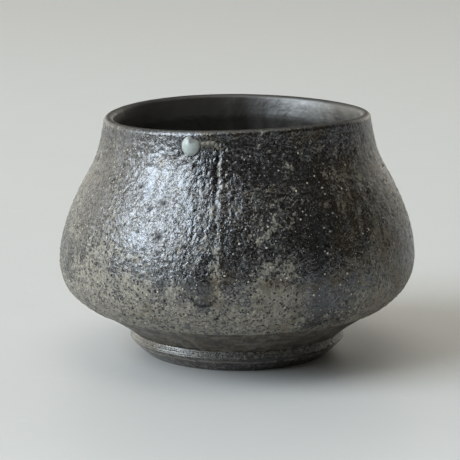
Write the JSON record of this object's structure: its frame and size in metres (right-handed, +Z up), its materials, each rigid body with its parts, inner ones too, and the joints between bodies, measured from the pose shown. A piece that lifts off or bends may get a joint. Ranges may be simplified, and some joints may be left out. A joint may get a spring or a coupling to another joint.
{
  "type": "tea bowl",
  "caption": "Small hand-thrown tea bowl with a full belly and drawn-in neck, on a ring foot, with a coarse dark outer glaze, a smooth inner glaze over the lip and a glass bead under the rim",
  "frame": {"origin": "centre of the foot's resting face, on the table", "axes": "+Z up through the mouth, -Y towards the side with the glaze run and the bead, +X to the right of that side"},
  "size_m": [0.1, 0.1, 0.0682],
  "materials": {
    "bare_clay": "matte, trimmed and left bare",
    "foot_slip": "satin, dark iron slip",
    "coarse_glaze": "rough, dark, with a metallic sheen and pale ash low down",
    "smooth_glaze": "smooth, dark gloss",
    "bead_glass": "pale green melted glass, gloss"
  },
  "bodies": {
    "root": {"clay_body": "bare_clay", "foot_ring": "foot_slip", "outer_glaze": "coarse_glaze", "inner_glaze": "smooth_glaze", "glass_bead": "bead_glass"}
  },
  "joints": []
}
